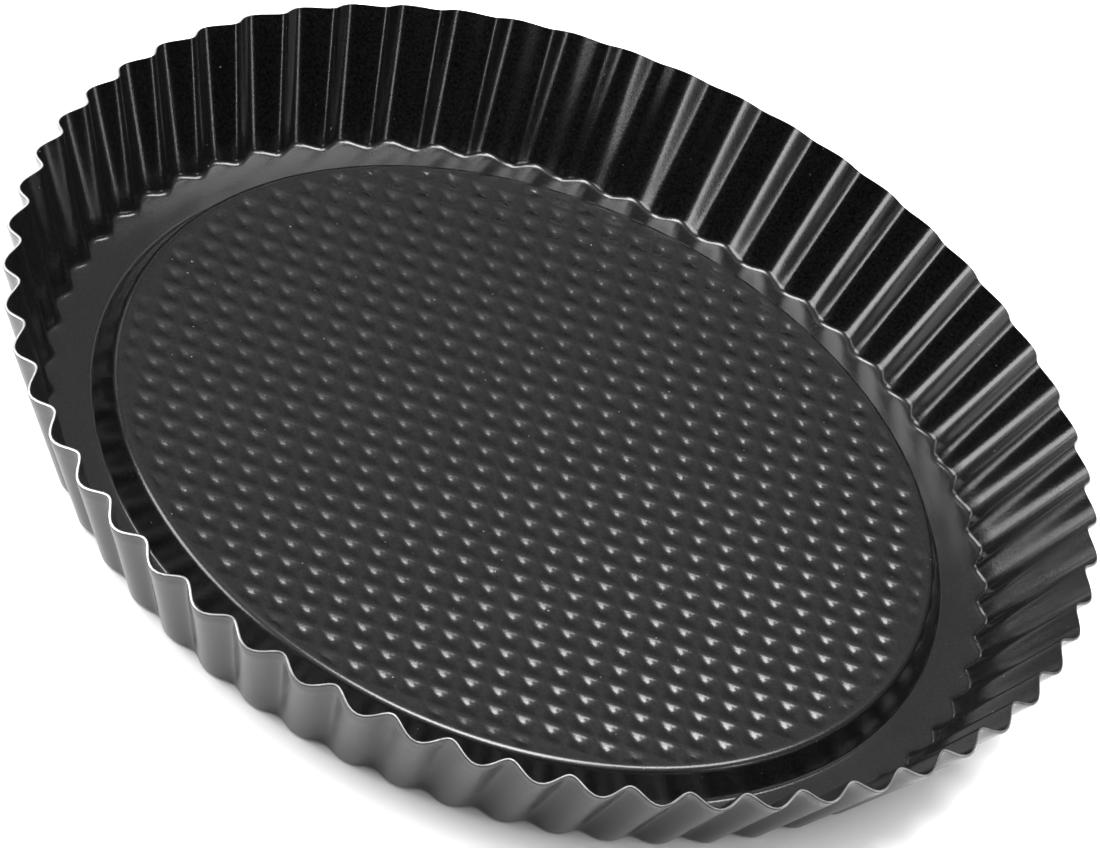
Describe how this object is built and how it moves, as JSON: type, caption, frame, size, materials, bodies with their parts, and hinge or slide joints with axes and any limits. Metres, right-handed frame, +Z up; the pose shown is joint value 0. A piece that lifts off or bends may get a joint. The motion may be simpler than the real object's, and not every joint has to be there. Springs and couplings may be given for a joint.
{
  "type": "tart pan",
  "caption": "Round tart pan of thin coated steel with a fluted flaring wall, a flat trough and a raised dimpled centre.",
  "frame": {"origin": "on the pan's axis, at the underside of the flat ring that it stands on", "axes": "+Z up out of the open pan along its axis; +X and +Y along the rows of the dimple pattern"},
  "size_m": [0.2798, 0.28, 0.0332],
  "materials": {
    "outer_coating": "thin black semi-gloss baked coating on the outside of the sheet, fine grain",
    "steel": "cold-rolled steel sheet, seen only as the trimmed edge at the rim",
    "nonstick_coating": "black satin non-stick coating on the inside of the sheet, fine speckle"
  },
  "bodies": {
    "root": {"outer_coating": "outer_coating", "steel_pressing": "steel", "inner_nonstick_coating": "nonstick_coating"}
  },
  "joints": []
}
